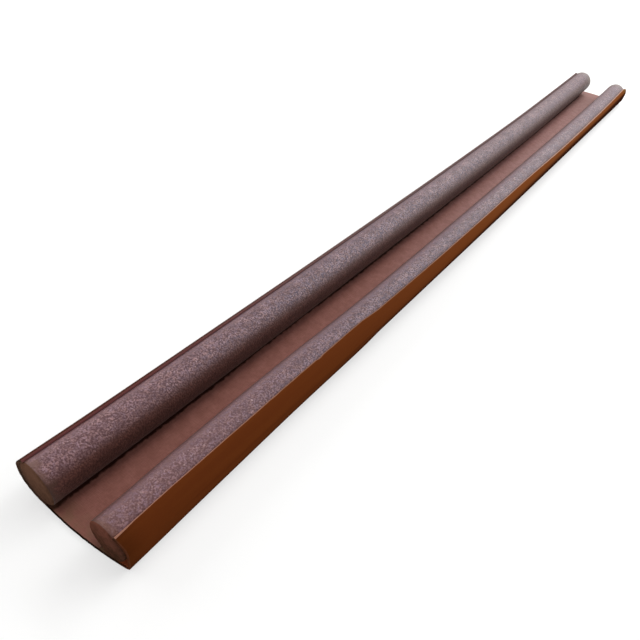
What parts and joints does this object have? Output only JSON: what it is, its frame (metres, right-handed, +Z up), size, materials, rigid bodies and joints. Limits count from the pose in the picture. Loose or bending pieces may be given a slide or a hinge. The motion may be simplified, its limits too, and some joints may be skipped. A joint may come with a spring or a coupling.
{
  "type": "draught excluder",
  "caption": "Draught excluder: a long open trough of coated cloth with a foam rod along each side, laid on the floor to straddle the bottom edge of a door.",
  "frame": {"origin": "middle of the underside, where the cloth lies on the floor", "axes": "+X along the length, +Y towards the slightly thicker rod, +Z up from the floor"},
  "size_m": [0.947, 0.0834, 0.0294],
  "materials": {
    "coated_cloth": "smooth, low sheen",
    "foam": "closed-cell foam, grainy and matt"
  },
  "bodies": {
    "root": {"sheet": "coated_cloth", "rod_left": "foam", "rod_right": "foam"}
  },
  "joints": []
}
